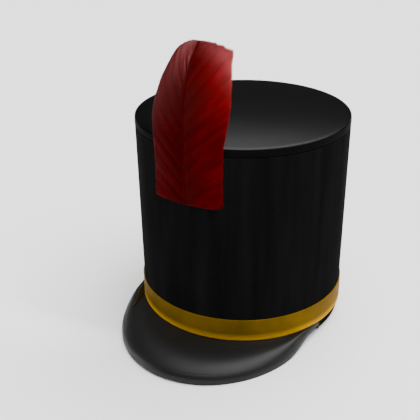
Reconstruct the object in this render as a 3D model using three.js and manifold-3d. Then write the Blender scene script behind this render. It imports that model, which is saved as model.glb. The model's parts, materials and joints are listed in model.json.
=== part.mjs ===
import * as THREE from 'three';
import { mergeVertices } from 'three/addons/utils/BufferGeometryUtils.js';
import Module from 'manifold-3d';

// Shako hat. Millimetres and degrees, +Z up, -Y is the front.
// Heights are measured from the flat foot of the body, with the hat upright.

// Body
const headOpening = 187;
const wall = 2.5;
const bodyHeight = 194;
const bandFlare = 1.1;
const topFlare = 2.4;
const edgeBevel = 0.5;
const seam = 0.3;

// Crown top, with its edge turned down over the end of the wall
const crownThickness = 2.5;
const crownTurnDown = 7;
const crownRounding = 1.5;

// Gold braid round the foot of the body
const braidFoot = 9;
const braidWidth = 22;
const braidThickness = 0.8;

// Peak
const peakReach = 49;
const peakDrop = 9.5;
const peakHalfAngle = 76;
const peakThickness = 2.5;
const peakLip = 6;
const peakSwell = 4;

// Pointed end of the braid on the back of the peak, and the tack at the other end
const braidEndBackAngle = 62;
const braidEndRootAngle = 53;
const braidEndTipAngle = 39.5;
const braidEndOut = 0.55;
const braidEndWidening = 0.24;
const tackWidth = 1.6;
const tackThickness = 1;

// Plume
const plumeBelowCrown = 53;
const plumeHeight = 132;
const plumeWidth = 70;
const plumeBacking = 2.2;
const plumeLean = 28;
const plumeCup = 13;
const plumeArch = 11;
const barbPairs = 10;
const barbRelief = 1.9;
const barbRiseAtFoot = 27;
const barbRiseAtTip = 52;
const barbBend = 0.8;
const quillWidth = 5;
const quillRelief = 1.5;
const plumeTrim = 1.015;

// Pin that holds the plume to the wall
const pinAbovePlumeFoot = 24;
const pinDiameter = 3;
const pinHeadDiameter = 12;
const pinHeadThickness = 1.2;
const pinBite = 2;

// Fineness of the round stretches
const roundSteps = 72;
const peakSteps = 40;
const weld = 0.002;

// The rim of the peak, from its middle to its end. turn is a share of peakHalfAngle,
// reach of peakReach and drop of peakDrop.
const peakRim = [
  { turn: 0, reach: 1, drop: 0.9 },
  { turn: 0.16, reach: 0.945, drop: 0.92 },
  { turn: 0.32, reach: 0.8, drop: 0.95 },
  { turn: 0.49, reach: 0.59, drop: 0.88 },
  { turn: 0.68, reach: 0.33, drop: 0.6 },
  { turn: 0.86, reach: 0.09, drop: -0.15 },
  { turn: 1, reach: 0.015, drop: -0.58 },
];

// Half the width of the plume, from its foot to its tip. up is a share of plumeHeight and
// half of half of plumeWidth.
const plumeSides = [
  { up: 0, half: 0.93 },
  { up: 0.16, half: 0.92 },
  { up: 0.4, half: 0.945 },
  { up: 0.55, half: 1 },
  { up: 0.65, half: 0.985 },
  { up: 0.75, half: 0.92 },
  { up: 0.81, half: 0.86 },
  { up: 0.87, half: 0.79 },
  { up: 0.92, half: 0.73 },
  { up: 1, half: 0.62 },
];

// How the plume curls back over the crown. above is a share of what stands over the crown,
// lean of plumeLean, for the whole width, and cup of plumeCup, for the two edges.
const plumeCurl = [
  { above: 0, lean: 0, cup: 0 },
  { above: 0.15, lean: 0.01, cup: 0.06 },
  { above: 0.3, lean: 0.05, cup: 0.18 },
  { above: 0.45, lean: 0.12, cup: 0.4 },
  { above: 0.6, lean: 0.23, cup: 0.62 },
  { above: 0.78, lean: 0.46, cup: 0.9 },
  { above: 0.87, lean: 0.64, cup: 1 },
  { above: 1, lean: 1, cup: 1 },
];

const rad = THREE.MathUtils.degToRad;
const baseRadius = headOpening / 2 + wall;
const bandRadius = baseRadius + bandFlare;
const topRadius = baseRadius + topFlare;
const braidTop = braidFoot + braidWidth;
const wallTop = bodyHeight - crownTurnDown;
const plumeFoot = bodyHeight - plumeBelowCrown;
const plumeTop = plumeFoot + plumeHeight;
const pinHeight = plumeFoot + pinAbovePlumeFoot;

const wasm = await Module();
wasm.setup();

// Reads one column of a table between its rows, along a smooth curve that starts level.
function readTable(rows, place, column, at) {
  const last = rows.length - 1;
  const slopeAt = (index) => {
    if (index === 0) return 0;
    const before = rows[index - 1];
    const after = rows[Math.min(index + 1, last)];
    return (after[column] - before[column]) / (after[place] - before[place]);
  };
  let row = 0;
  while (row < last - 1 && at > rows[row + 1][place]) row += 1;
  const from = rows[row];
  const to = rows[row + 1];
  const span = to[place] - from[place];
  const rise = to[column] - from[column];
  const t = THREE.MathUtils.clamp((at - from[place]) / span, 0, 1);
  const leave = slopeAt(row) * span - rise;
  const arrive = rise - slopeAt(row + 1) * span;
  return from[column] + rise * t + t * (1 - t) * ((1 - t) * leave + t * arrive);
}

// Radius of the outside of the body at a height.
function bodyRadiusAt(height) {
  if (height < braidFoot) {
    return THREE.MathUtils.mapLinear(height, 0, braidFoot, baseRadius, bandRadius);
  }
  const share = THREE.MathUtils.clamp((height - braidTop) / (bodyHeight - braidTop), 0, 1);
  return THREE.MathUtils.lerp(bandRadius, topRadius, share);
}

// Turns a closed outline of [radius, height] pairs round the vertical axis.
function turned(outline) {
  const points = outline.map(([radius, height]) => new THREE.Vector2(radius, height));
  const geometry = new THREE.LatheGeometry([...points, points[0]], roundSteps);
  return geometry.rotateX(Math.PI / 2);
}

// Skins a row of closed sections that have equally many points, and closes both ends with
// strips between the first half of the end's points and the second.
function lofted(sections) {
  const around = sections[0].length;
  const positions = sections.flat().flatMap((point) => point.toArray());
  const index = [];
  for (let s = 0; s < sections.length - 1; s += 1) {
    for (let i = 0; i < around; i += 1) {
      const a = s * around + i;
      const b = s * around + (i + 1) % around;
      index.push(a, b, a + around, b, b + around, a + around);
    }
  }
  const end = (sections.length - 1) * around;
  let low = 0;
  let high = around - 1;
  while (high - low > 1) {
    index.push(low, high, low + 1, end + low, end + low + 1, end + high);
    low += 1;
    if (high - low > 1) index.push(low, high, high - 1, end + low, end + high - 1, end + high);
    high -= 1;
  }
  const geometry = new THREE.BufferGeometry();
  geometry.setAttribute('position', new THREE.Float32BufferAttribute(positions, 3));
  geometry.setIndex(index);
  geometry.computeVertexNormals();
  return geometry;
}

function toSolid(geometry) {
  const bare = geometry.clone();
  bare.deleteAttribute('normal');
  bare.deleteAttribute('uv');
  const merged = mergeVertices(bare);
  const solid = new wasm.Manifold(new wasm.Mesh({
    numProp: 3,
    vertProperties: merged.attributes.position.array,
    triVerts: Uint32Array.from(merged.index.array),
  }));
  if (solid.volume() > 0) return solid;
  throw new Error('a skinned shape is inside out');
}

// Takes a solid's mesh back, with corners closer than the weld distance made one.
function toGeometry(solid) {
  const mesh = solid.getMesh();
  const raw = new THREE.BufferGeometry();
  raw.setAttribute('position', new THREE.BufferAttribute(mesh.vertProperties, 3));
  raw.setIndex(new THREE.BufferAttribute(mesh.triVerts, 1));
  const geometry = mergeVertices(raw, weld);
  const corners = geometry.index.array;
  const kept = [];
  for (let i = 0; i < corners.length; i += 3) {
    const [a, b, c] = corners.slice(i, i + 3);
    if (a !== b && b !== c && c !== a) kept.push(a, b, c);
  }
  geometry.setIndex(kept);
  geometry.computeVertexNormals();
  return geometry;
}

const felt = new THREE.MeshStandardMaterial({ color: 0x121212, roughness: 0.62, metalness: 0 });
const leather = new THREE.MeshStandardMaterial({ color: 0x171717, roughness: 0.32, metalness: 0 });
const patent = new THREE.MeshStandardMaterial({ color: 0x151515, roughness: 0.2, metalness: 0 });
const gold = new THREE.MeshStandardMaterial({ color: 0x8a650a, roughness: 0.5, metalness: 0.35 });
const feather = new THREE.MeshStandardMaterial({ color: 0x8a0208, roughness: 0.55, metalness: 0 });
const steel = new THREE.MeshStandardMaterial({ color: 0x8c8c8c, roughness: 0.35, metalness: 1 });

const upright = new THREE.Group();

function place(name, geometry, material) {
  const mesh = new THREE.Mesh(geometry, material);
  mesh.name = name;
  upright.add(mesh);
}

// Pin: a flat head inside the wall and a shank that goes through it into the plume.
const pinHole = pinDiameter / 2 + seam;
const plumeBack = bodyRadiusAt(pinHeight) + seam;
const pinInside = bodyRadiusAt(pinHeight) - wall - seam;

function pinRod(radius, from, to) {
  const pinSteps = 24;
  const rod = new THREE.CylinderGeometry(radius, radius, to - from, pinSteps);
  return rod.translate(0, -(from + to) / 2, 0).translate(0, 0, pinHeight);
}

function pin() {
  const head = toSolid(pinRod(pinHeadDiameter / 2, pinInside - pinHeadThickness, pinInside));
  const tip = plumeBack + pinBite - seam;
  const shank = toSolid(pinRod(pinDiameter / 2, pinInside - pinHeadThickness / 2, tip));
  return toGeometry(head.add(shank));
}

// Body: one felt wall, open below and above, pierced for the pin.
function body() {
  const shell = turned([
    [baseRadius - wall + edgeBevel, 0],
    [baseRadius - edgeBevel, 0],
    [baseRadius, edgeBevel],
    [bandRadius, braidFoot],
    [bandRadius, braidTop],
    [bodyRadiusAt(wallTop), wallTop],
    [bodyRadiusAt(wallTop) - wall, wallTop],
    [bandRadius - wall, braidTop],
    [bandRadius - wall, braidFoot],
    [baseRadius - wall, edgeBevel],
  ]);
  const hole = toSolid(pinRod(pinHole, pinInside - wall, plumeBack + wall));
  return toGeometry(toSolid(shell).subtract(hole));
}

// Crown top: a flat disc whose rounded edge turns down and meets the wall.
function crownTop() {
  const foot = wallTop + seam;
  const outline = [
    [0, bodyHeight - crownThickness],
    [topRadius - wall, bodyHeight - crownThickness],
    [bodyRadiusAt(wallTop) - wall, foot],
    [bodyRadiusAt(wallTop), foot],
  ];
  const cornerSteps = 3;
  for (let i = 0; i <= cornerSteps; i += 1) {
    const turn = (i / cornerSteps) * Math.PI / 2;
    outline.push([
      topRadius - crownRounding * (1 - Math.cos(turn)),
      bodyHeight - crownRounding * (1 - Math.sin(turn)),
    ]);
  }
  outline.push([0, bodyHeight]);
  return turned(outline);
}

// Braid: a thin ring round the foot of the body.
function goldBraid() {
  const inner = bandRadius + seam;
  const outer = inner + braidThickness;
  const bevel = braidThickness / 3;
  return turned([
    [inner, braidFoot],
    [outer - bevel, braidFoot],
    [outer, braidFoot + bevel],
    [outer, braidTop - bevel],
    [outer - bevel, braidTop],
    [inner, braidTop],
  ]);
}

// A point on the peak's top side. turn runs from -1 to 1 across the peak, out from 0 at the
// wall to 1 at the brow of the lip, and lift raises it. bulge is 1 at its highest place.
const peakRoot = braidFoot - seam;
const peakInner = bandRadius + seam;
const peakSteepening = 0.2;

function peakPoint(turn, out, lift = 0) {
  const share = Math.abs(turn);
  const reach = peakReach * readTable(peakRim, 'turn', 'reach', share);
  const drop = peakDrop * readTable(peakRim, 'turn', 'drop', share);
  const ease = Math.min(1, reach / (peakLip * 2));
  const brow = Math.min(-drop + peakLip, peakRoot);
  const fall = (peakRoot - brow) * THREE.MathUtils.lerp(out, out * out, peakSteepening);
  const bulge = (27 / 4) * out * out * (1 - out);
  const radius = peakInner + reach * out;
  const angle = rad(peakHalfAngle) * turn;
  const height = peakRoot - fall + peakSwell * ease * bulge + lift;
  return new THREE.Vector3(radius * Math.sin(angle), -radius * Math.cos(angle), height);
}

// Peak: a crescent with a bulging top, a turned-down lip and an even thickness.
function peak() {
  const alongTop = 6;
  const browStart = 0.97;
  const browDrop = 0.14;
  const widestLip = 0.6;
  const sections = [];
  for (let s = 0; s <= peakSteps; s += 1) {
    const turn = (2 * s) / peakSteps - 1;
    const share = Math.abs(turn);
    const reach = peakReach * readTable(peakRim, 'turn', 'reach', share);
    const lipFoot = -peakDrop * readTable(peakRim, 'turn', 'drop', share);
    const lip = peakPoint(turn, 1);
    const inside = 1 - Math.min(widestLip, peakThickness / reach);
    const lipBack = peakPoint(turn, inside);
    const section = [];
    for (let i = 0; i <= alongTop; i += 1) {
      section.push(peakPoint(turn, (browStart * i) / alongTop));
    }
    section.push(peakPoint(turn, 1, -peakLip * browDrop));
    section.push(lip.setZ(lipFoot), lipBack.setZ(lipFoot));
    for (let i = alongTop; i >= 0; i -= 1) {
      section.push(peakPoint(turn, (inside * i) / alongTop, -peakThickness));
    }
    sections.push(section);
  }
  return lofted(sections);
}

// End of the braid: a tongue on the back corner of the peak that narrows to a point. It
// starts braidEndWidening of the peak's reach wide and ends at braidEndOut of it.
function braidEnd() {
  const steps = 14;
  const across = 5;
  const lift = seam * 1.5;
  const pointWidth = 0.03;
  const sections = [];
  for (let s = 0; s <= steps; s += 1) {
    const degrees = THREE.MathUtils.lerp(braidEndBackAngle, braidEndTipAngle, s / steps);
    const turn = -degrees / peakHalfAngle;
    const reach = peakReach * readTable(peakRim, 'turn', 'reach', -turn);
    const toTip = (braidEndRootAngle - degrees) / (braidEndRootAngle - braidEndTipAngle);
    const near = Math.max((braidThickness + seam) / reach, braidEndOut * toTip);
    const far = THREE.MathUtils.lerp(braidEndWidening, braidEndOut + pointWidth, s / steps);
    const top = [];
    const underside = [];
    for (let i = 0; i <= across; i += 1) {
      const out = THREE.MathUtils.lerp(near, far, i / across);
      top.push(peakPoint(turn, out, lift + braidThickness));
      underside.push(peakPoint(turn, out, lift));
    }
    sections.push([...top, ...underside.reverse()]);
  }
  return lofted(sections);
}

// Tack: a thin upright gold bar on the wall, close to the end of the peak.
function tack() {
  const half = tackWidth / 2;
  const angle = rad(peakHalfAngle) + (seam + half) / bandRadius;
  const sections = [seam * 2, braidFoot - seam].map((height) => {
    const inner = bodyRadiusAt(height) + seam;
    const outer = inner + tackThickness;
    return [[inner, -half], [outer, -half], [outer, half], [inner, half]]
      .map(([radius, side]) => new THREE.Vector3(side, -radius, height))
      .map((point) => point.applyAxisAngle(new THREE.Vector3(0, 0, 1), angle));
  });
  return lofted(sections);
}

// A point of the plume. across runs from -1 to 1, up from 0 at the foot to 1 at the tip, and
// lift is how far it lies in front of the back of the plume.
function plumeBackPoint(across, up) {
  const height = plumeFoot + plumeHeight * up;
  const above = THREE.MathUtils.clamp((height - bodyHeight) / (plumeTop - bodyHeight), 0, 1);
  const x = across * (plumeWidth / 2) * readTable(plumeSides, 'up', 'half', up);
  const radius = bodyRadiusAt(height) + seam;
  const lean = plumeLean * readTable(plumeCurl, 'above', 'lean', above);
  const cup = plumeCup * readTable(plumeCurl, 'above', 'cup', above) * across * across;
  return new THREE.Vector3(x, -Math.sqrt(radius * radius - x * x) + lean + cup, height);
}

function plumePoint(across, up, lift) {
  const step = 0.01;
  const point = plumeBackPoint(across, up);
  const sideways = plumeBackPoint(across + step, up).sub(plumeBackPoint(across - step, up));
  const upwards = plumeBackPoint(across, up + step).sub(plumeBackPoint(across, up - step));
  return point.addScaledVector(sideways.cross(upwards).normalize(), lift);
}

// How far up the plume reaches, as a share, at a place across it.
const plumeShoulder = 2.2;

function plumeEdge(across) {
  return 1 - (plumeArch / plumeHeight) * Math.abs(across) ** plumeShoulder;
}

// A sheet of the plume's outline, from one lift to another.
function plumeSheet(side, from, to) {
  const rows = 22;
  const columns = 10;
  const sections = [];
  for (let r = 0; r <= rows; r += 1) {
    const front = [];
    const back = [];
    for (let c = 0; c <= columns; c += 1) {
      const share = (2 * c) / columns - 1;
      const up = (r / rows) * plumeEdge(share);
      front.push(plumePoint(share * side, up, to));
      back.push(plumePoint(share * side, up, from));
    }
    sections.push([...front, ...back.reverse()]);
  }
  return toSolid(lofted(sections));
}

// One strip on the front of the plume, along a path of [across, up] places. The profile
// gives sides as shares of halfWidth and rises as shares of relief, sunk into the backing.
function plumeStrip(path, halfWidth, relief) {
  const profile = [[1, -0.5], [0.95, 0.25], [0.35, 1], [-0.35, 1], [-0.95, 0.25], [-1, -0.5]];
  const taper = 0.28;
  const sections = path.map(([across, up], i) => {
    const swell = 1 - taper + taper * Math.sin((i / (path.length - 1)) * Math.PI);
    return profile.map(([side, rise]) => plumePoint(
      across,
      up + (side * halfWidth * swell) / plumeHeight,
      plumeBacking + rise * relief,
    ));
  });
  return toSolid(lofted(sections));
}

// The barbs of one side rise from the quill to the edge, each in a lock of its own. The
// lowest start at the foot, and the highest stand steepest and end at the tip. They run on
// a little past the outline, which trims them.
function barbs(side) {
  const pitch = 1 / barbPairs;
  const startShift = 0.55;
  const [outFrom, outTo] = [0.03, 1.03];
  const pastFoot = pitch * 0.4;
  const pastTip = pitch * 0.3;
  const steps = 12;
  const atFoot = Math.ceil(barbRiseAtFoot / plumeHeight / pitch);
  const locks = [];
  for (let k = -atFoot; k < barbPairs; k += 1) {
    const start = (k + startShift) * pitch;
    const steepness = THREE.MathUtils.clamp(start, 0, 1);
    const rise = THREE.MathUtils.lerp(barbRiseAtFoot, barbRiseAtTip, steepness) / plumeHeight;
    const path = [];
    for (let i = 0; i <= steps; i += 1) {
      const out = outFrom + (outTo - outFrom) * (i / steps);
      const up = start + rise * out ** barbBend;
      if (up > -pastFoot && up < plumeEdge(out) + pastTip) path.push([side * out, up]);
    }
    if (path.length < 3) continue;
    const kept = path.filter((place, i) => i % 2 === 0 || i === path.length - 1);
    locks.push(plumeStrip(side > 0 ? kept : kept.reverse(), (plumeHeight * pitch) / 2, barbRelief));
  }
  return locks;
}

// The quill narrows from a little below the foot to a little below the tip.
function quill() {
  const steps = 12;
  const taper = 0.7;
  const [length, belowFoot] = [0.96, 0.01];
  const sections = [];
  for (let s = 0; s <= steps; s += 1) {
    const up = (s / steps) * length - belowFoot;
    const half = (quillWidth / plumeWidth) * (1 - taper * (s / steps));
    const low = plumeBacking / 2;
    const high = plumeBacking + quillRelief;
    sections.push([
      plumePoint(-half, up, low),
      plumePoint(-half, up, plumeBacking),
      plumePoint(-half / 2, up, high),
      plumePoint(half / 2, up, high),
      plumePoint(half, up, plumeBacking),
      plumePoint(half, up, low),
    ]);
  }
  return toSolid(lofted(sections));
}

// Plume: quill and barbs fused to a backing, trimmed to one outline and bored for the pin.
function plume() {
  let whole = plumeSheet(1, 0, plumeBacking).add(quill());
  for (const lock of [...barbs(-1), ...barbs(1)]) {
    whole = whole.add(lock);
  }
  const outline = plumeSheet(plumeTrim, -1, plumeBacking + barbRelief * 2);
  const bore = toSolid(pinRod(pinHole, pinInside, plumeBack + pinBite));
  return toGeometry(whole.intersect(outline).subtract(bore));
}

place('body', body(), felt);
place('crown_top', crownTop(), leather);
place('gold_braid', goldBraid(), gold);
place('peak', peak(), patent);
place('braid_end', braidEnd(), gold);
place('tack', tack(), gold);
place('plume', plume(), feather);
place('plume_pin', pin(), steel);

// The hat rests on the back of its foot and on the lowest stretch of the peak's lip, so it
// tips back a little. How much follows from the lip's lowest places.
function restTilt() {
  let tilt = 0;
  for (let s = 0; s <= peakSteps; s += 1) {
    const turn = (2 * s) / peakSteps - 1;
    const lip = peakPoint(turn, 1);
    const drop = peakDrop * readTable(peakRim, 'turn', 'drop', Math.abs(turn));
    tilt = Math.max(tilt, Math.atan2(drop, baseRadius - edgeBevel - lip.y));
  }
  return tilt;
}

upright.rotation.x = -restTilt();
const hat = new THREE.Group();
hat.add(upright);
const box = new THREE.Box3().setFromObject(hat, true);
const centre = box.getCenter(new THREE.Vector3());
upright.position.set(-centre.x, -centre.y, -box.min.z);

export default hat;
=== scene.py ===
import json
import math
import random
import bmesh
import bpy
from mathutils import Matrix, Vector


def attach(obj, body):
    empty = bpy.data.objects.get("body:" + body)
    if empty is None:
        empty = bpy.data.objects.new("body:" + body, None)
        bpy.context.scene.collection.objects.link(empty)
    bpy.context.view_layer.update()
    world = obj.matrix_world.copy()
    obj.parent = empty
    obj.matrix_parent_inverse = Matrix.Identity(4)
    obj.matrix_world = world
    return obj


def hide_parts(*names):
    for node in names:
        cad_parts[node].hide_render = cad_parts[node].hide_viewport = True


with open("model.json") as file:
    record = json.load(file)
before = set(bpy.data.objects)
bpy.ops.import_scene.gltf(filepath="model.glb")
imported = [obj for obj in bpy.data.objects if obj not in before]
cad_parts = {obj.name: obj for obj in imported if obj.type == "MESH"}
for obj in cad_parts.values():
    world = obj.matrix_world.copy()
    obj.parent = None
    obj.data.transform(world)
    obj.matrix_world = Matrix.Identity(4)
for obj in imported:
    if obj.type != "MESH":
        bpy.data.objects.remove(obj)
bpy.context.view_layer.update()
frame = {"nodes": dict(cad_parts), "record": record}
mm = 0.001
weldWithin = 0.0004  # corners of a piece that are closer, in mm, become one
random.seed(7)

# The hat tips back a little where it rests. Lengths below are in mm, in the hat's own upright
# frame: foot at 0, axis through the origin, front towards -Y.
footAxis = frame["record"]["mounts"][0]["axis"]
restLean = math.atan2(-footAxis[1], -footAxis[2])
leanTurn = Matrix.Rotation(-restLean, 4, "X")


def uprightBox(node):
    corners = [leanTurn.inverted() @ v.co for v in frame["nodes"][node].data.vertices]
    low = Vector(min(c[i] for c in corners) for i in range(3))
    high = Vector(max(c[i] for c in corners) for i in range(3))
    return low, high


bodyLow, bodyHigh = uprightBox("body")
axisSpot = Vector((0, (bodyLow.y + bodyHigh.y) / 2, bodyLow.z))
hatPlace = leanTurn @ Matrix.Translation(axisSpot)
toWorld = hatPlace @ Matrix.Scale(mm, 4)


def span(node):
    low, high = uprightBox(node)
    return (low.z - axisSpot.z) / mm, (high.z - axisSpot.z) / mm, high.x / mm


wallTop = span("body")[1]
crownFoot, hatTop, crownRadius = span("crown_top")
braidFoot, braidTop, braidRadius = span("gold_braid")
plumeFoot = span("plume")[0]
print("frame read: hat", round(hatTop), "mm high, leaning", round(math.degrees(restLean), 2))

# Camera, fitted to the rings and outlines of the photograph. Angles are in degrees, the
# distance from the middle of the crown is in mm, and the focal length is in the same
# picture points as the frame's width.
view = {
    "azimuth": 28.5,
    "elevation": 18.7,
    "distance": 7.14 * 98,  # times the crown's radius
    "aimRight": -2.67,
    "aimDown": 26.16,
    "roll": -0.75,
    "focal": 760,
    "frameWidth": 420,
    "sensorWidth": 36,
}


def placeCamera():
    azimuth, elevation = math.radians(view["azimuth"]), math.radians(view["elevation"])
    aim, down = math.radians(view["aimRight"]), math.radians(view["aimDown"])
    away, level = view["distance"], math.cos(down)
    spot = Vector((0, -away * math.cos(elevation), away * math.sin(elevation)))
    ahead = Vector((math.sin(aim) * level, math.cos(aim) * level, -math.sin(down)))
    right = Vector((math.cos(aim), -math.sin(aim), 0))
    up = right.cross(ahead)
    roll = Matrix.Rotation(math.radians(view["roll"]), 3, -ahead)
    right, up = roll @ right, roll @ up
    turn = Matrix((right, up, -ahead)).transposed().to_4x4()
    swing = Matrix.Rotation(azimuth, 4, "Z")
    spot = Matrix.Translation(Vector((0, 0, hatTop)) + swing @ spot)
    data = bpy.data.cameras.new("camera")
    data.sensor_width = view["sensorWidth"]
    data.lens = view["focal"] / view["frameWidth"] * data.sensor_width
    camera = bpy.data.objects.new("camera", data)
    place = toWorld @ spot @ swing @ turn
    camera.matrix_world = Matrix.LocRotScale(place.to_translation(), place.to_quaternion(), None)
    bpy.context.collection.objects.link(camera)
    bpy.context.scene.camera = camera


placeCamera()
print("camera placed")


# Materials


def linear(hexColour):
    # a screen colour as linear light
    channels = [int(hexColour[i:i + 2], 16) / 255 for i in (1, 3, 5)]
    curve = [c / 12.92 if c <= 0.04045 else ((c + 0.055) / 1.055) ** 2.4 for c in channels]
    return (*curve, 1)


def addNode(tree, kind, inputs=None, **settings):
    node = tree.nodes.new(kind)
    for name, value in settings.items():
        setattr(node, name, value)
    for name, value in (inputs or {}).items():
        if isinstance(value, bpy.types.NodeSocket):
            tree.links.new(value, node.inputs[name])
        else:
            node.inputs[name].default_value = value
    return node


def newMaterial(name, shader):
    material = bpy.data.materials.new(name)
    material.use_nodes = True
    tree = material.node_tree
    surface = tree.nodes["Principled BSDF"]
    for socket, value in shader.items():
        surface.inputs[socket].default_value = value
    return material, tree, surface


def uprightPattern(tree, sizes):
    # object coordinates stood upright on the hat's axis, in units of the given sizes in mm
    coords = addNode(tree, "ShaderNodeTexCoord")
    turned = addNode(
        tree, "ShaderNodeMapping", {"Vector": coords.outputs["Object"]}, vector_type="TEXTURE"
    )
    turned.inputs["Location"].default_value = hatPlace.to_translation()
    turned.inputs["Rotation"].default_value = (-restLean, 0, 0)
    turned.inputs["Scale"].default_value = [size * mm for size in sizes]
    return turned.outputs["Vector"]


def uprightNoise(tree, sizes, **inputs):
    # soft spots of the given sizes in mm, from 0 to 1
    spot = uprightPattern(tree, sizes)
    noise = addNode(tree, "ShaderNodeTexNoise", {"Vector": spot, "Scale": 1.0, **inputs})
    return noise.outputs["Fac"]


def mapped(tree, value, source=(0, 1), target=(0, 1), smooth=False):
    # a value that runs over the source's range, brought to the target's
    inputs = {
        "Value": value, "From Min": source[0], "From Max": source[1],
        "To Min": target[0], "To Max": target[1],
    }
    kind = "SMOOTHSTEP" if smooth else "LINEAR"
    node = addNode(tree, "ShaderNodeMapRange", inputs, interpolation_type=kind)
    return node.outputs["Result"]


def added(tree, first, second):
    node = addNode(tree, "ShaderNodeMath", {0: first, 1: second}, operation="ADD")
    return node.outputs["Value"]


def mixColours(tree, amount, dark, light, blend):
    # dark up to the first share in blend, light from the second one on
    ramp = addNode(tree, "ShaderNodeValToRGB", {"Fac": amount})
    for element, colour, place in zip(ramp.color_ramp.elements, (dark, light), blend):
        element.color = linear(colour)
        element.position = place
    return ramp


def raiseSurface(tree, surface, height, strength, depth, **settings):
    # small relief, depth in mm
    inputs = {"Height": height, "Strength": strength, "Distance": depth * mm}
    bump = addNode(tree, "ShaderNodeBump", inputs, **settings)
    tree.links.new(bump.outputs["Normal"], surface.inputs["Normal"])


def streaked(name, look):
    # a colour that varies from dark to light in spots of the grain's sizes in mm
    material, tree, surface = newMaterial(name, look["shader"])
    tone = uprightNoise(tree, look["grain"])
    ramp = mixColours(tree, tone, look["dark"], look["light"], look["blend"])
    tree.links.new(ramp.outputs["Color"], surface.inputs["Base Color"])
    return material, tree, surface


# wool felt, blocked and stiffened with shellac: close black nap, with a faint upright sheen
# painted into its colour as long lighter stripes
feltLook = {
    "dark": "#0b0b0b", "light": "#121212", "blend": (0.35, 0.72), "grain": (13, 13, 160),
    "fibre": 0.9, "fibreDetail": 4.0, "fibreRelief": 0.5, "fibreDepth": 0.12,
    "shader": {"Roughness": 0.85, "Specular IOR Level": 0.008},
}


def blackFelt():
    # the long upright stripes of lighter colour are painted sheen
    material, tree, surface = streaked("blackWoolFelt", feltLook)
    nap = uprightNoise(tree, (feltLook["fibre"],) * 3, Detail=feltLook["fibreDetail"])
    raiseSurface(tree, surface, nap, feltLook["fibreRelief"], feltLook["fibreDepth"])
    return material


# dyed and waxed calf leather: fine pebbled grain, a broad soft gloss
leatherLook = {
    "colour": "#060606", "grain": 1.3, "grainDepth": 0.01, "gloss": (0.17, 0.2),
    "shader": {"Specular IOR Level": 0.02},
}
# the same hide shaved thin and turned down: matt, so that it looks one with the felt
skivedLook = {
    "colour": "#0a0a0a", "grain": 1.3, "grainDepth": 0.06, "gloss": (0.6, 0.7),
    "shader": {"Specular IOR Level": 0.01},
}
# patent leather: smooth hide under a hard lacquer, glossy with a slight ripple
patentLook = {
    "colour": "#101010", "grain": 6, "grainDepth": 0.1, "gloss": (0.42, 0.5),
    "shader": {"Specular IOR Level": 0.22},
}
hide = {"relief": 0.6, "wear": 25}  # of all three: strength of the grain, size of worn spots


def grainyLeather(name, look):
    material, tree, surface = newMaterial(name, look["shader"])
    surface.inputs["Base Color"].default_value = linear(look["colour"])
    spot = uprightPattern(tree, (look["grain"],) * 3)
    cells = addNode(
        tree, "ShaderNodeTexVoronoi", {"Vector": spot, "Scale": 1.0}, feature="SMOOTH_F1"
    )
    grain = cells.outputs["Distance"]
    raiseSurface(tree, surface, grain, hide["relief"], look["grainDepth"], invert=True)
    wear = uprightNoise(tree, (hide["wear"],) * 3)
    gloss = mapped(tree, wear, target=look["gloss"])
    tree.links.new(gloss, surface.inputs["Roughness"])
    return material


# gilt lace: drawn gilt wire woven over yellow silk, dull gold with bright ridges and a painted
# highlight along its lower edge
braidLook = {
    "dark": "#4a3800", "light": "#6c5203", "edgeHighlight": "#b8890f", "highlightTo": 8, "blotch": 30,
}
# the same lace painted darker all over as painted shade, for the braid's tongue on the peak's
# corner and for the tack
shadedBraidLook = {
    "dark": "#1f1602", "light": "#35270a", "edgeHighlight": "#35270a", "highlightTo": 1.5, "blotch": 12,
}
wire = {
    "blend": (0.2, 0.8), "highlightFrom": 0.5,
    "shader": {
        "Metallic": 0.2, "Roughness": 0.5, "Specular IOR Level": 0.05,
        "Specular Tint": linear("#e0a020"),
    },
}


def giltBraid(name, look):
    material, tree, surface = newMaterial(name, wire["shader"])
    tone = uprightNoise(tree, (look["blotch"],) * 3)
    ramp = mixColours(tree, tone, look["dark"], look["light"], wire["blend"])
    # the lower edge is painted brighter as a painted highlight; the map gives the height on the
    # lace in mm
    place = addNode(tree, "ShaderNodeUVMap", uv_map="surface")
    parts = addNode(tree, "ShaderNodeSeparateXYZ", {"Vector": place.outputs["UV"]})
    highlightShare = mapped(tree, parts.outputs["Y"], (look["highlightTo"], wire["highlightFrom"]), smooth=True)
    edgeHighlight = addNode(tree, "ShaderNodeMix", {"Factor": highlightShare}, data_type="RGBA")
    tree.links.new(ramp.outputs["Color"], edgeHighlight.inputs["A"])
    edgeHighlight.inputs["B"].default_value = linear(look["edgeHighlight"])
    tree.links.new(edgeHighlight.outputs["Result"], surface.inputs["Base Color"])
    return material


# dyed goose feather: barbs that lie in locks, with paler streaks along them and a soft gloss.
# A pattern's lay is how often it varies along a barb, and its width is across the barbs in mm.
featherLook = {
    "deep": "#390001", "mid": "#450002", "bright": "#540005", "blend": (0.3, 0.66), "midAt": 0.5,
    "streaks": {"lay": 1.6, "width": 7.5, "detail": 2.0},
    "strands": {"lay": 3, "width": 0.9, "detail": 1.0}, "strandShare": 0.35,
    # painted light: lock crests lighter and the gaps between locks darker, and the outer barb
    # tips paler as a painted highlight
    "paleTo": 0.7, "outwards": (-0.14, 0.04), "crestLightAndShade": (-0.06, 0.04),
    "tips": (0.93, 0.99), "tipHighlight": 0.2,
    "glossAt": 72, "gloss": (0.03, 0.32),
    "shader": {
        "Roughness": 0.33, "Specular IOR Level": 0.03, "Specular Tint": linear("#ff9090"),
    },
}


def strandNoise(tree, place, pattern):
    scale = (pattern["lay"], 1 / pattern["width"], 1)
    spot = addNode(tree, "ShaderNodeMapping", {"Vector": place, "Scale": scale})
    inputs = {"Vector": spot.outputs["Vector"], "Scale": 1.0, "Detail": pattern["detail"]}
    return addNode(tree, "ShaderNodeTexNoise", inputs).outputs["Fac"]


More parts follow.
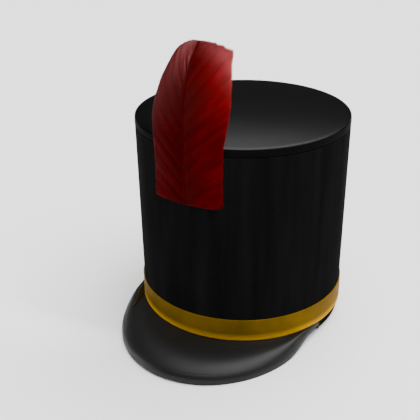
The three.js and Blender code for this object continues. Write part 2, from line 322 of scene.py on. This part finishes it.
def redFeather():
    look = featherLook
    material, tree, surface = newMaterial("dyedGooseFeather", look["shader"])
    place = addNode(tree, "ShaderNodeUVMap", uv_map="strands").outputs["UV"]
    streaks = strandNoise(tree, place, look["streaks"])
    strands = strandNoise(tree, place, look["strands"])
    both = addNode(
        tree, "ShaderNodeMix", {"Factor": look["strandShare"], "A": streaks, "B": strands},
        data_type="FLOAT",
    )
    # paler outwards and darkest beside the quill, with a painted highlight on the crest of each
    # lock, painted shade between the locks and a painted highlight on the barb tips at the edges
    locks = addNode(tree, "ShaderNodeUVMap", uv_map="locks")
    parts = addNode(tree, "ShaderNodeSeparateXYZ", {"Vector": locks.outputs["UV"]})
    out, crestShare = parts.outputs["X"], parts.outputs["Y"]
    outwards = mapped(tree, out, (0, look["paleTo"]), look["outwards"], smooth=True)
    crestLightAndShade = mapped(tree, crestShare, target=look["crestLightAndShade"])
    tips = mapped(tree, out, look["tips"], (0, look["tipHighlight"]))
    shade = added(tree, added(tree, outwards, crestLightAndShade), tips)
    tone = added(tree, both.outputs["Result"], shade)
    ramp = mixColours(tree, tone, look["deep"], look["bright"], look["blend"])
    middle = ramp.color_ramp.elements.new(look["midAt"])
    middle.color = linear(look["mid"])
    # the tip is glossier than the foot
    height = addNode(tree, "ShaderNodeSeparateXYZ", {"Vector": uprightPattern(tree, (1, 1, 1))})
    top = hatTop + look["glossAt"]
    sheen = mapped(tree, height.outputs["Z"], (hatTop, top), look["gloss"], smooth=True)
    tree.links.new(sheen, surface.inputs["Specular IOR Level"])
    tree.links.new(ramp.outputs["Color"], surface.inputs["Base Color"])
    return material


# the feather's shaft, dyed with it: harder and darker than the barbs
quillLook = {
    "dark": "#300001", "light": "#400002", "blend": (0, 1), "grain": (3, 3, 14),
    "shader": {"Roughness": 0.6, "Specular IOR Level": 0.01},
}
# plain steel of the pin: grey, brushed across
steelLook = {
    "dark": "#8a8a8c", "light": "#a8a8aa", "blend": (0, 1), "grain": (0.3, 4, 0.3),
    "shader": {"Metallic": 1.0, "Roughness": 0.35},
}

feltMaterial = blackFelt()
crownMaterial = grainyLeather("waxedCalfLeather", leatherLook)
skivedMaterial = grainyLeather("skivedCalfLeather", skivedLook)
patentMaterial = grainyLeather("patentLeather", patentLook)
braidMaterial = giltBraid("giltWireLace", braidLook)
shadedBraidMaterial = giltBraid("shadedWireLace", shadedBraidLook)
featherMaterial = redFeather()
quillMaterial = streaked("dyedQuill", quillLook)[0]
steelMaterial = streaked("brushedSteel", steelLook)[0]
print("materials made")


# Making and placing pieces


def finishPiece(mesh, name, materials, replaced=(), sharp=40):
    # edges that turn by more than sharp degrees stay crisp
    bmesh.ops.remove_doubles(mesh, verts=mesh.verts, dist=weldWithin)
    bmesh.ops.recalc_face_normals(mesh, faces=mesh.faces)
    for face in mesh.faces:
        face.smooth = True
    for edge in mesh.edges:
        if len(edge.link_faces) == 2 and edge.calc_face_angle(0) > math.radians(sharp):
            edge.smooth = False
    bmesh.ops.transform(mesh, matrix=toWorld, verts=mesh.verts)
    data = bpy.data.meshes.new(name)
    mesh.to_mesh(data)
    mesh.free()
    piece = bpy.data.objects.new(name, data)
    bpy.context.collection.objects.link(piece)
    for material in materials if isinstance(materials, list) else [materials]:
        data.materials.append(material)
    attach(piece, "root")
    if replaced:
        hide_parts(*replaced)
    print(name, "has", len(data.polygons), "faces")


def turned(outline, steps, closed=True):
    # spins an outline of (radius, height) places round the hat's axis
    mesh = bmesh.new()
    corners = [mesh.verts.new((radius, 0, height)) for radius, height in outline]
    following = corners[1:] + corners[:1] if closed else corners[1:]
    edges = [mesh.edges.new(pair) for pair in zip(corners, following)]
    bmesh.ops.spin(
        mesh, geom=corners + edges, cent=(0, 0, 0), axis=(0, 0, 1),
        angle=2 * math.pi, steps=steps, use_merge=True, use_duplicate=False,
    )
    return mesh


def arc(centre, radius, fromDegrees, toDegrees, steps):
    places = []
    for i in range(steps + 1):
        turn = math.radians(fromDegrees + (toDegrees - fromDegrees) * i / steps)
        places.append((centre[0] + radius * math.cos(turn), centre[1] + radius * math.sin(turn)))
    return places


def skinned(rows, columns, placeAt, maps=None, closed=False, mesh=None):
    # a grid wrapped round a piece: rows run along it, columns go round its section
    mesh = mesh or bmesh.new()
    maps = maps or {"surface": lambda along, around: (around, along)}
    for name in maps:
        if name not in mesh.loops.layers.uv.keys():
            mesh.loops.layers.uv.new(name)
    old = set(mesh.verts)
    bmesh.ops.create_grid(mesh, x_segments=columns, y_segments=rows, size=0.5)
    fresh = [v for v in mesh.verts if v not in old]
    shares = {v: (v.co.y + 0.5, v.co.x + 0.5) for v in fresh}
    for name, mapAt in maps.items():
        layer = mesh.loops.layers.uv[name]
        spots = {v: mapAt(*places) for v, places in shares.items()}
        for v in fresh:
            for loop in v.link_loops:
                loop[layer].uv = spots[v]
    for v, (along, around) in shares.items():
        v.co = placeAt(along, around)
    bmesh.ops.remove_doubles(mesh, verts=fresh, dist=weldWithin)
    if not closed:
        rims = [e for e in mesh.edges if e.is_boundary]
        bmesh.ops.holes_fill(mesh, edges=rims, sides=0)
    return mesh


def mixed(low, high, share):
    return low + (high - low) * share


def readTable(rows, at):
    # a row is (place, value); the curve between rows is smooth and starts level
    last = len(rows) - 1

    def slope(i):
        if i == 0:
            return 0
        before, after = rows[i - 1], rows[min(i + 1, last)]
        return (after[1] - before[1]) / (after[0] - before[0])

    row = 0
    while row < last - 1 and at > rows[row + 1][0]:
        row += 1
    (x0, y0), (x1, y1) = rows[row], rows[row + 1]
    t = min(max((at - x0) / (x1 - x0), 0), 1)
    leave = slope(row) * (x1 - x0) - (y1 - y0)
    arrive = (y1 - y0) - slope(row + 1) * (x1 - x0)
    return y0 + (y1 - y0) * t + t * (1 - t) * ((1 - t) * leave + t * arrive)


# Body: the felt wall, with a soft round hem. The low and high rings are heights below and
# above the braid.
bodyShape = {
    "baseRadius": 96, "bandRadius": 97.1, "wall": 2.5, "steps": 240,
    "hemLift": 0.28, "hemSteps": 8, "lowRings": (2.5, 5), "highRings": (60, 100, 140, 170),
}


def bodyRadiusAt(height):
    band = bodyShape["bandRadius"]
    if height < braidFoot:
        return mixed(bodyShape["baseRadius"], band, height / braidFoot)
    share = min(max((height - braidTop) / (hatTop - braidTop), 0), 1)
    return mixed(band, crownRadius, share)


def makeBody():
    wall = bodyShape["wall"]
    middle = bodyShape["baseRadius"] - wall / 2
    hem = arc((middle, wall * bodyShape["hemLift"]), wall / 2, 180, 360, bodyShape["hemSteps"])
    hem = [(radius, max(height, 0)) for radius, height in hem]
    braidRings = (braidFoot, (braidFoot + braidTop) / 2, braidTop)
    heights = [*bodyShape["lowRings"], *braidRings, *bodyShape["highRings"], wallTop]
    outside = [(bodyRadiusAt(h), h) for h in heights]
    inside = [(bodyRadiusAt(h) - wall, h) for h in reversed(heights)]
    return turned(hem + outside + inside, bodyShape["steps"])


finishPiece(makeBody(), "feltBody", feltMaterial, ["body"])

# Crown top: a leather disc, turned down over the felt and stitched round
crownShape = {
    "thickness": 2.5, "rounding": 1.2, "dome": 0.5, "steps": 240, "edgeSteps": 10,
    "topRings": (92, 75, 55, 35, 15, 0), "underRings": (0, 50), "clearance": 0.6,
    "innerBevel": 0.4, "outerBevel": 0.5, "mattBelow": 0.5,
}


def makeCrown():
    thick, rounding = crownShape["thickness"], crownShape["rounding"]
    skirt = bodyRadiusAt(wallTop)
    centre = (crownRadius - rounding, hatTop - rounding)
    edge = arc(centre, rounding, 0, 90, crownShape["edgeSteps"])
    rings = crownShape["topRings"]
    top = [(r, hatTop + crownShape["dome"] * (1 - (r / rings[0]) ** 2)) for r in rings]
    underEdge = crownRadius - thick - crownShape["clearance"]
    under = [(r, hatTop - thick) for r in (*crownShape["underRings"], underEdge)]
    bevel = crownShape["innerBevel"]
    inner = [(skirt - thick, crownFoot + bevel), (skirt - thick + bevel, crownFoot)]
    bevel = crownShape["outerBevel"]
    foot = [(skirt - bevel, crownFoot), (skirt, crownFoot + bevel)]
    mesh = turned(under + inner + foot + edge + top, crownShape["steps"], closed=False)
    mattTo = hatTop - rounding * crownShape["mattBelow"]
    for face in mesh.faces:
        face.material_index = int(face.calc_center_median().z < mattTo)
    return mesh


crownMaterials = [crownMaterial, skivedMaterial]
finishPiece(makeCrown(), "crownTopLeather", crownMaterials, ["crown_top"], 50)


def addStitch(mesh, spot, along, outward, stitch):
    # a short fat thread, pressed into the leather: a ball 1 mm across, stretched
    made = bmesh.ops.create_uvsphere(mesh, u_segments=6, v_segments=5, radius=0.5)["verts"]
    side = outward.cross(along).normalized()
    turn = Matrix((side, outward, along)).transposed().to_4x4()
    size = Matrix.Diagonal((stitch["thickness"], stitch["thickness"], stitch["length"], 1))
    bmesh.ops.transform(mesh, matrix=Matrix.Translation(spot) @ turn @ size, verts=made)


# Stitches round the crown's turned-down edge
crownStitch = {"pitch": 4.2, "above": 2.2, "proud": 0.02, "length": 3.0, "thickness": 0.55}


def makeCrownStitches():
    mesh = bmesh.new()
    height = crownFoot + crownStitch["above"]
    radius = bodyRadiusAt(height) + crownStitch["proud"]
    count = round(2 * math.pi * radius / crownStitch["pitch"])
    for i in range(count):
        turn = 2 * math.pi * i / count
        outward = Vector((math.cos(turn), math.sin(turn), 0))
        along = Vector((-math.sin(turn), math.cos(turn), 0))
        spot = outward * radius + Vector((0, 0, height))
        addStitch(mesh, spot, along, outward, crownStitch)
    return mesh


finishPiece(makeCrownStitches(), "crownStitches", skivedMaterial)
print("body and crown made")

# Gold braid: woven lace with a corded edge along each side
laceShape = {
    "thickness": 0.8, "repeat": 2.6, "edgeCord": 1.7, "ridge": 0.22, "twist": 2.6,
    "cordFoot": 0.45, "cordRelief": 0.06, "slant": 0.9, "groove": 2.3, "grooveShare": 0.2,
    "across": 30, "perRepeat": 6,
}


def laceHeight(along, across, width):
    # along and across in mm: how proud the lace stands of its back
    thick, cord, foot = laceShape["thickness"], laceShape["edgeCord"], laceShape["cordFoot"]
    fromEdge = min(across, width - across)
    if fromEdge < cord:
        bulge = math.sqrt(max(0, 1 - (2 * fromEdge / cord - 1) ** 2))
        twist = math.sin(2 * math.pi * (along + across) / laceShape["twist"])
        return thick * foot + (thick * (1 - foot) + laceShape["cordRelief"] * twist) * bulge
    slanted = along + abs(across - width / 2) * laceShape["slant"]
    weave = math.sin(2 * math.pi * slanted / laceShape["repeat"])
    groove = math.sin(2 * math.pi * (fromEdge - cord) / laceShape["groove"])
    deep = laceShape["grooveShare"]
    return thick - laceShape["ridge"] * (1 - (0.5 + 0.5 * weave) * (1 - deep + deep * groove))


backSteps = 4  # columns of a lace's section on its back and round to the front


def laceShare(around, across):
    # up the front in so many steps, down the back in two, and round to where it began
    columns = across + backSteps
    column = round(around * columns) % columns
    return (column / across, True) if column <= across else ((columns - 1 - column) / 2, False)


def makeBraid():
    width = braidTop - braidFoot
    inner = braidRadius - laceShape["thickness"]
    length = 2 * math.pi * braidRadius
    repeats = round(length / laceShape["repeat"])
    across = laceShape["across"]

    def placeAt(share, around):
        up, onFront = laceShare(around, across)
        turn = 2 * math.pi * share
        radius = inner
        if onFront:
            radius += laceHeight(share * repeats * laceShape["repeat"], width * up, width)
        return Vector((radius * math.sin(turn), -radius * math.cos(turn), braidFoot + width * up))

    def spotAt(share, around):
        return length * share, width * laceShare(around, across)[0]

    rows = repeats * laceShape["perRepeat"]
    return skinned(rows, across + backSteps, placeAt, {"surface": spotAt}, closed=True)


finishPiece(makeBraid(), "giltBraidBand", braidMaterial, ["gold_braid"], 80)
print("braid made")

# Peak: patent leather, bulging, with a turned-down lip. It spans the half angle in degrees
# to each side of the front.
peakShape = {
    "reach": 49, "drop": 9.5, "halfAngle": 76, "thickness": 2.5, "lip": 6, "swell": 4,
    "fullest": 27 / 4, "droop": 0.2, "brow": 2.6, "seam": 0.3,
    "rows": 150, "topSteps": 14, "browSteps": 6, "underSteps": 12,
}
# the lip's section, in mm or as shares of the way: rounded outside, flat below
lipShape = {
    "browMost": 0.4, "browDrop": 0.9, "lowAbove": 0.8, "insideMost": 0.6,
    "side": 0.6, "sideAbove": 0.3, "below": (0.08, 0.35, 0.8), "innerBevel": 0.5,
}
# reach and drop from the middle of the peak, 0, to its ends, 1, as shares of the largest
peakReach = [
    (0, 1), (0.16, 0.945), (0.32, 0.8), (0.49, 0.59), (0.68, 0.33), (0.86, 0.09), (1, 0.015),
]
peakDrop = [
    (0, 0.9), (0.16, 0.92), (0.32, 0.95), (0.49, 0.88), (0.68, 0.6), (0.86, -0.15), (1, -0.58),
]


def reachAt(share):
    return peakShape["reach"] * readTable(peakReach, share)


def dropAt(share):
    return peakShape["drop"] * readTable(peakDrop, share)


def peakPoint(turn, out, lift=0):
    # turn from -1 to 1 across the peak, out from 0 at the wall to 1 at the lip
    reach, drop = reachAt(abs(turn)), dropAt(abs(turn))
    root = braidFoot - peakShape["seam"]
    ease = min(1, reach / (peakShape["lip"] * 2))
    brow = min(-drop + peakShape["lip"], root)
    droop = peakShape["droop"]
    fall = (root - brow) * ((1 - droop) * out + droop * out * out)
    # out * out * (1 - out) times fullest is 1 where the peak bulges most
    swell = peakShape["swell"] * ease * peakShape["fullest"] * out * out * (1 - out)
    radius = bodyShape["bandRadius"] + peakShape["seam"] + reach * out
    angle = math.radians(peakShape["halfAngle"]) * turn
    height = root - fall + swell + lift
    return Vector((radius * math.sin(angle), -radius * math.cos(angle), height))


def peakSection(turn):
    # the section's outline as a closed row of points: top, rounded brow, lip, underside
    reach, foot = reachAt(abs(turn)), -dropAt(abs(turn))
    thick = peakShape["thickness"]
    inside = 1 - min(lipShape["insideMost"], thick / reach)
    brow = min(peakShape["brow"], reach * lipShape["browMost"]) / reach
    steps = peakShape["topSteps"]
    points = [peakPoint(turn, (1 - brow) * i / steps) for i in range(steps + 1)]
    browStart, corner = points[-1], peakPoint(turn, 1)
    low = peakPoint(turn, 1, -peakShape["brow"] * lipShape["browDrop"])
    low.z = max(low.z, foot + lipShape["lowAbove"])
    for i in range(1, peakShape["browSteps"]):
        t = i / peakShape["browSteps"]
        points.append(browStart * (1 - t) ** 2 + corner * 2 * t * (1 - t) + low * t * t)
    back = peakPoint(turn, inside)
    outer = Vector((corner.x, corner.y, foot))
    inner = Vector((back.x, back.y, foot))
    side = low.lerp(outer, lipShape["side"])
    side.z = max(side.z, foot + lipShape["sideAbove"])
    points += [low, side, *(outer.lerp(inner, share) for share in lipShape["below"])]
    points.append(inner + Vector((0, 0, lipShape["innerBevel"])))
    steps = peakShape["underSteps"]
    points += [peakPoint(turn, inside * i / steps, -thick) for i in range(steps, -1, -1)]
    return points


def makePeak():
    rows = peakShape["rows"]
    sections = [peakSection(2 * r / rows - 1) for r in range(rows + 1)]
    around = len(sections[0])

    def placeAt(along, share):
        return sections[round(along * rows)][round(share * around) % around]

    return skinned(rows, around, placeAt)


finishPiece(makePeak(), "patentPeak", patentMaterial, ["peak"], 55)

# Stitches along the peak's brow
peakStitch = {
    "out": 0.925, "pitch": 3.6, "length": 2.5, "thickness": 0.5, "reachTo": 0.72,
    "proud": 0.02, "step": 0.005, "inwards": 0.02,
}


def makePeakStitches():
    mesh = bmesh.new()
    out, step, proud = peakStitch["out"], peakStitch["step"], peakStitch["proud"]
    turn = -peakStitch["reachTo"]
    while turn < peakStitch["reachTo"]:
        spot = peakPoint(turn, out, proud)
        ahead = peakPoint(turn + step, out, proud) - spot
        outward = ahead.cross(peakPoint(turn, out - peakStitch["inwards"]) - spot).normalized()
        addStitch(mesh, spot, ahead.normalized(), outward, peakStitch)
        turn += step * peakStitch["pitch"] / ahead.length
    return mesh


finishPiece(makePeakStitches(), "peakStitches", patentMaterial)

# Braid end: the pointed tongue of lace on the back corner of the peak
tongueShape = {
    "back": 62, "root": 53, "tip": 39.5, "tipOut": 0.55, "tipWide": 0.03, "outer": 0.24,
    "seams": 1.5, "rows": 120, "across": 24,
}
tongueMap = {"length": 30, "middle": 6, "fall": 4}


def makeTongue():
    lift = peakShape["seam"] * tongueShape["seams"]
    across, tipOut = tongueShape["across"], tongueShape["tipOut"]
    back, root, tip = tongueShape["back"], tongueShape["root"], tongueShape["tip"]

    def placeAt(along, around):
        degrees = mixed(back, tip, along)
        turn = -degrees / peakShape["halfAngle"]
        reach = reachAt(-turn)
        toTip = (root - degrees) / (root - tip)
        near = max((laceShape["thickness"] + peakShape["seam"]) / reach, tipOut * toTip)
        far = mixed(tongueShape["outer"], tipOut + tongueShape["tipWide"], along)
        share, onFront = laceShare(around, across)
        proud = 0
        if onFront:
            length = math.radians(back - degrees) * bodyShape["bandRadius"]
            proud = laceHeight(length, share * (far - near) * reach, (far - near) * reach)
        return peakPoint(turn, mixed(near, far, share), lift + proud)

    def spotAt(along, around):
        height = tongueMap["middle"] - tongueMap["fall"] * abs(around - 0.5)
        return tongueMap["length"] * along, height

    return skinned(tongueShape["rows"], across + backSteps, placeAt, {"surface": spotAt})


# the tongue is given the lace painted darker, painted shade
finishPiece(makeTongue(), "braidTongue", shadedBraidMaterial, ["braid_end"], 80)
print("peak and its braid made")

# Plume: two stacked layers of barbs on each side of a quill. Its tip stands back by the lean,
# and the tip's sides by the cup as well. A barb's rise is how far it climbs over half the
# width, at the plume's foot and at its tip.
plumeShape = {
    "height": 132, "width": 70, "lean": 28, "cup": 13, "arch": (11.5, 8.5), "shoulder": 2.2,
    "lockPairs": 10, "rise": (27, 52), "bend": 0.8, "seam": 0.3, "step": 0.01,
}
# shares of half the width from the foot to the tip, and of the lean and the cup from the
# crown's height to the tip
plumeSides = [
    (0, 0.93), (0.16, 0.92), (0.4, 0.945), (0.55, 1), (0.65, 0.985), (0.75, 0.92),
    (0.81, 0.86), (0.87, 0.79), (0.92, 0.73), (1, 0.62),
]
plumeLean = [
    (0, 0), (0.15, 0.01), (0.3, 0.05), (0.45, 0.12), (0.6, 0.23), (0.78, 0.46),
    (0.87, 0.64), (1, 1),
]
plumeCup = [
    (0, 0), (0.15, 0.06), (0.3, 0.18), (0.45, 0.4), (0.6, 0.62), (0.78, 0.9), (0.87, 1), (1, 1),
]


def plumeBack(across, up):
    height = plumeFoot + plumeShape["height"] * up
    crownShare = (height - hatTop) / (plumeFoot + plumeShape["height"] - hatTop)
    above = min(max(crownShare, 0), 1)
    x = across * plumeShape["width"] / 2 * readTable(plumeSides, up)
    radius = bodyRadiusAt(height) + plumeShape["seam"]
    lean = plumeShape["lean"] * readTable(plumeLean, above)
    cup = plumeShape["cup"] * readTable(plumeCup, above) * across * across
    return Vector((x, -math.sqrt(radius * radius - x * x) + lean + cup, height))


def plumePoint(across, up, lift):
    # a place on the plume's curve, lifted square to it
    step = plumeShape["step"]
    sideways = plumeBack(across + step, up) - plumeBack(across - step, up)
    upwards = plumeBack(across, up + step) - plumeBack(across, up - step)
    return plumeBack(across, up) + sideways.cross(upwards).normalized() * lift


def plumeEdge(across):
    # the tip's outline: a little fuller on the wearer's left
    arch = plumeShape["arch"][int(across > 0)]
    return 1 - arch / plumeShape["height"] * abs(across) ** plumeShape["shoulder"]


# A layer's barbs: pitch in mm between them, lift of its back and front in mm
frontLayer = {
    "pitch": 1.0, "low": 1.3, "high": 2.2, "relief": 0.7, "shift": 0, "ridge": 0.34, "out": 1.03,
}
rearLayer = {
    "pitch": 1.25, "low": 0.15, "high": 1.1, "relief": 0.5, "shift": 0.5, "ridge": 0.35,
    "out": 1.0,
}
# What all barbs share: the first and last start on the quill, the profile of one barb, how
# its tip frays, how a lock of barbs swells, and how the whole thins out towards the tip
barbShape = {
    "rootOut": -0.015, "halvings": 24, "startLow": 0.93, "startHigh": 0.985, "columns": 24,
    "profile": (0, 0.75, 1, 0.75), "fray": 0.01, "notch": 0.03,
    "lockShift": 0.05, "lockRound": 0.7, "swell": (0.55, 0.45), "swellOut": 1.15,
    "rootDip": 0.2, "rootShare": 8, "wave": 0.002, "waveUp": 90, "waveOut": 7,
    "thinning": 0.6, "thinningPower": 4, "mapGap": 300,
}


def barbRise(start):
    # barbs stand up more steeply towards the tip
    low, high = plumeShape["rise"]
    return mixed(low, high, min(max(start, 0), 1)) / plumeShape["height"]


def barbUp(start, out):
    return start + barbRise(start) * max(out, 0) ** plumeShape["bend"]


def barbStretch(start, side):
    # the stretch of a barb, as shares of half the width, that lies inside the outline
    first = barbShape["rootOut"]
    if start < 0:
        first = max(first, (-start / barbRise(start)) ** (1 / plumeShape["bend"]))
    low, high = first, 1.0
    if barbUp(start, 1) > plumeEdge(side):
        for _ in range(barbShape["halvings"]):
            middle = (low + high) / 2
            if barbUp(start, middle) > plumeEdge(side * middle):
                high = middle
            else:
                low = middle
    return first, high


def makeBarbs(layer, side, mesh):
    height, profile, columns = plumeShape["height"], barbShape["profile"], barbShape["columns"]
    startLow = -barbRise(0) * barbShape["startLow"]
    startHigh = barbShape["startHigh"]
    count = round((startHigh - startLow) * height / layer["pitch"])
    perBarb = len(profile)
    rows, around = count * perBarb, 2 * columns + 1
    ragged = [random.uniform(-1, 1) for _ in range(count + 2)]
    stretches = []
    for row in range(rows + 1):
        start = mixed(startLow, startHigh, row / rows)
        stretches.append((start, *barbStretch(start, side)))

    def spotAt(share):
        # out along the front, back along the rear, and up the root to where it began
        column = round(share * around) % around
        return (column / columns, True) if column <= columns else (2 - column / columns, False)

    def lockAt(start):
        place = (start * plumeShape["lockPairs"] - barbShape["lockShift"] + layer["shift"]) % 1
        return max(0, 1 - (2 * place - 1) ** 2)

    def proudAt(start, share, part):
        # how far the front stands out: a swollen lock with the barb's own ridge on it
        least, more = barbShape["swell"]
        swell = least + more * math.sin(math.pi * min(share * barbShape["swellOut"], 1))
        lock = layer["relief"] * lockAt(start) ** barbShape["lockRound"] * swell
        dip = barbShape["rootDip"] * (1 - min(share * barbShape["rootShare"], 1))
        return layer["high"] + (lock + layer["ridge"] * profile[part]) - dip

    def placeAt(along, place):
        row = round(along * rows)
        start, first, last = stretches[row]
        barb, part = divmod(row, perBarb)
        share, onFront = spotAt(place)
        notch = barbShape["notch"] * (1 - profile[part])
        tip = layer["out"] + barbShape["fray"] * ragged[barb] - notch
        out = mixed(first, last * tip, share)
        lift = proudAt(start, share, part) if onFront and 0 < row < rows else layer["low"]
        ripple = math.sin(start * barbShape["waveUp"] + share * barbShape["waveOut"])
        up = max(barbUp(start, out) + barbShape["wave"] * ripple * share, 0)
        thin = 1 - barbShape["thinning"] * share ** barbShape["thinningPower"]
        return plumePoint(side * out, up, lift * thin)

    def strandsAt(along, share):
        across = mixed(startLow, startHigh, along) * height + side * barbShape["mapGap"]
        return spotAt(share)[0], across

    def locksAt(along, share):
        start, first, last = stretches[round(along * rows)]
        return mixed(first, last, spotAt(share)[0]), lockAt(start)

    maps = {"strands": strandsAt, "locks": locksAt}
    return skinned(rows, around, placeAt, maps, closed=True, mesh=mesh)


def makeLayer(layer, name, replaced):
    mesh = bmesh.new()
    for side in (-1, 1):
        makeBarbs(layer, side, mesh)
    finishPiece(mesh, name, featherMaterial, replaced, 75)


makeLayer(frontLayer, "plumeFrontBarbs", ["plume"])
makeLayer(rearLayer, "plumeRearBarbs", [])


# Quill: a tapering shaft that lies on the front barbs
quillShape = {
    "width": 3.4, "reach": 0.97, "foot": 0.8, "taper": 0.62, "proud": 0.25, "round": 0.45,
    "rows": 60, "around": 12,
}


def makeQuill():
    foot, taper = quillShape["foot"], quillShape["taper"]

    def placeAt(along, share):
        half = quillShape["width"] / plumeShape["width"] * (foot - taper * along)
        turn = 2 * math.pi * share
        lift = frontLayer["high"] + quillShape["proud"] + quillShape["round"] * math.sin(turn)
        return plumePoint(half * math.cos(turn), along * quillShape["reach"], lift)

    return skinned(quillShape["rows"], quillShape["around"], placeAt)


finishPiece(makeQuill(), "plumeQuill", quillMaterial)
print("plume made")

# Small parts that keep their solids
# the tack is given the lace painted darker, painted shade
for node, material in (("tack", shadedBraidMaterial), ("plume_pin", steelMaterial)):
    data = frame["nodes"][node].data
    data.materials.clear()
    data.materials.append(material)

# Floor, light and the pale room: bright round its middle, with a pale band at the horizon.
# Lamps stand and aim in metres; a beam is its spread in degrees.
studio = {
    "floorSize": 6,
    "floorShader": {
        "Base Color": linear("#f4f4f4"), "Roughness": 0.9, "Specular IOR Level": 0.1,
    },
    "room": "#ffffff",
    "roomStrength": (0.05, 8.5),
    "roomSpread": (0.66, 0.97),
    "roomMiddle": (0.26, 0.25, 0.93),
    "horizon": 1.4,
    "horizonSpread": (0.16, 0.03),
}
lamps = {
    "crownLamp": {
        "from": (-0.17, 0.45, 0.455), "aim": (0.06, -0.05, 0.194), "wide": 0.3, "high": 0.1,
        "power": 0.068, "beam": 60,
    },
    "plumeLamp": {
        "from": (0.2, -0.02, 0.5), "aim": (0.045, -0.04, 0.27), "wide": 0.05, "high": 0.05,
        "power": 0.034, "beam": 18,
    },
    "sideLamp": {
        "from": (-0.5, -0.35, 0.12), "aim": (-0.08, -0.05, 0.02), "wide": 0.2, "high": 0.2,
        "power": 0.09, "beam": 32,
    },
}


def makeFloor():
    mesh = bmesh.new()
    bmesh.ops.create_grid(mesh, x_segments=1, y_segments=1, size=studio["floorSize"])
    data = bpy.data.meshes.new("floor")
    mesh.to_mesh(data)
    mesh.free()
    floor = bpy.data.objects.new("floor", data)
    bpy.context.collection.objects.link(floor)
    data.materials.append(newMaterial("palePaperFloor", studio["floorShader"])[0])


def makeRoom():
    world = bpy.data.worlds.new("room")
    world.use_nodes = True
    room = world.node_tree
    lightBox = room.nodes["Background"]
    lightBox.inputs["Color"].default_value = linear(studio["room"])
    facing = addNode(room, "ShaderNodeTexCoord").outputs["Generated"]
    nearness = addNode(
        room, "ShaderNodeVectorMath", {0: facing, 1: studio["roomMiddle"]},
        operation="DOT_PRODUCT",
    )
    near = nearness.outputs["Value"]
    ceiling = mapped(room, near, studio["roomSpread"], studio["roomStrength"], smooth=True)
    height = addNode(room, "ShaderNodeSeparateXYZ", {"Vector": facing}).outputs["Z"]
    horizon = mapped(room, height, studio["horizonSpread"], (0, studio["horizon"]), smooth=True)
    room.links.new(added(room, ceiling, horizon), lightBox.inputs["Strength"])
    bpy.context.scene.world = world


def makeLamp(name, lamp):
    light = bpy.data.lights.new(name, "AREA")
    light.shape = "RECTANGLE"
    light.size, light.size_y = lamp["wide"], lamp["high"]
    light.energy = lamp["power"]
    light.spread = math.radians(lamp["beam"])
    holder = bpy.data.objects.new(name, light)
    holder.visible_camera = False
    spot = Vector(lamp["from"])
    turn = (Vector(lamp["aim"]) - spot).to_track_quat("-Z", "Y")
    holder.matrix_world = Matrix.Translation(spot) @ turn.to_matrix().to_4x4()
    bpy.context.collection.objects.link(holder)


makeFloor()
makeRoom()
for name, lamp in lamps.items():
    makeLamp(name, lamp)
print("studio lit")
